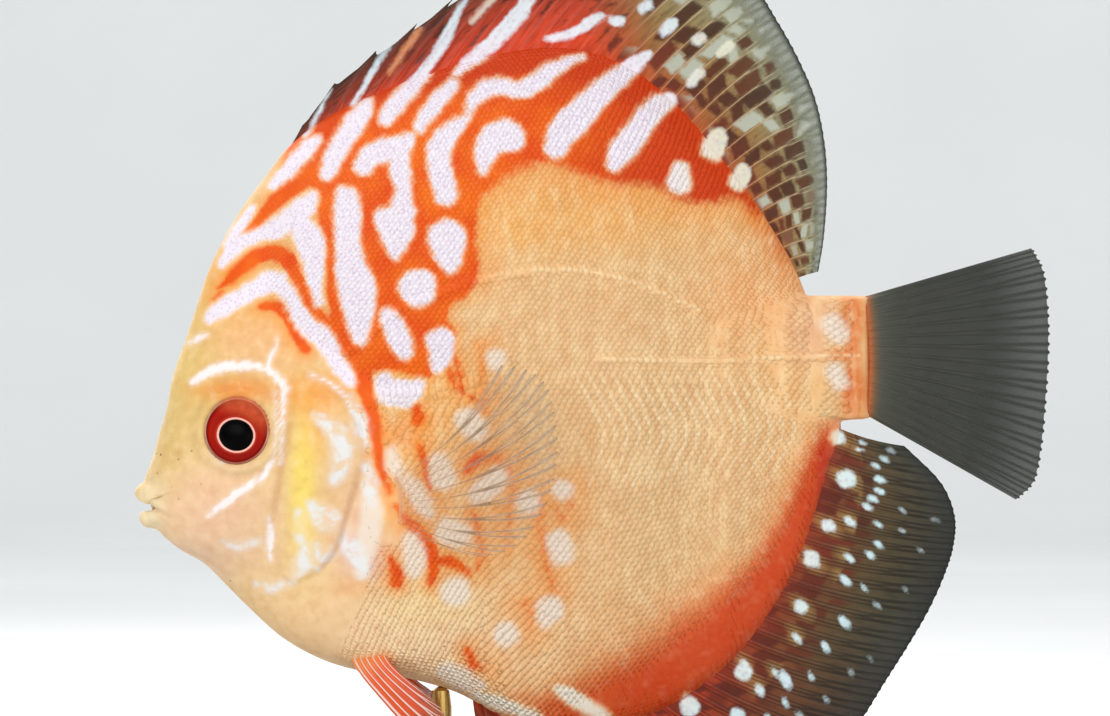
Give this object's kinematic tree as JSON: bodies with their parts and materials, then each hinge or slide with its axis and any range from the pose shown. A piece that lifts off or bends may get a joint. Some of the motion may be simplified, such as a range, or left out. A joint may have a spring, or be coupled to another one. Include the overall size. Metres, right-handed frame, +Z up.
{
  "type": "discus fish",
  "caption": "Life-size model of a disc-shaped tropical fish with an orange and pale netted pattern, held level by a short rod on a flat display base.",
  "frame": {"origin": "middle of the display base's underside, on the floor", "axes": "+Z up, -X the way the fish faces, -Y its left flank"},
  "size_m": [0.1651, 0.07, 0.1852],
  "materials": {
    "skin": "semi-gloss scaly flank, peach and orange",
    "face": "satin cream and pink",
    "lip": "satin cream",
    "eye": "wet gloss, red with a black pupil",
    "dorsal": "satin brick red and brown, clear at the margin",
    "anal": "satin red-brown with pale blue spots, dark at the margin",
    "caudal": "satin smoky grey, part clear",
    "pectoral": "clear web with thin dark rays",
    "pelvic": "satin orange-red with pale rays",
    "stand_wood": "dark satin varnish",
    "stand_brass": "satin"
  },
  "bodies": {
    "root": {"head": "face", "trunk": "skin", "tail_stalk": "skin", "upper_lip": "lip", "lower_lip": "lip", "eye_left": "eye", "eye_right": "eye", "gill_cover_left": "face", "gill_cover_right": "face", "dorsal_fin_spiny": "dorsal", "dorsal_fin_soft": "dorsal", "anal_fin_spiny": "anal", "anal_fin_soft": "anal", "caudal_fin": "caudal", "pectoral_fin_left": "pectoral", "pectoral_fin_right": "pectoral", "pelvic_fin_left": "pelvic", "pelvic_fin_right": "pelvic", "stand_base": "stand_wood", "stand_socket": "stand_brass", "stand_rod": "stand_brass"}
  },
  "joints": []
}
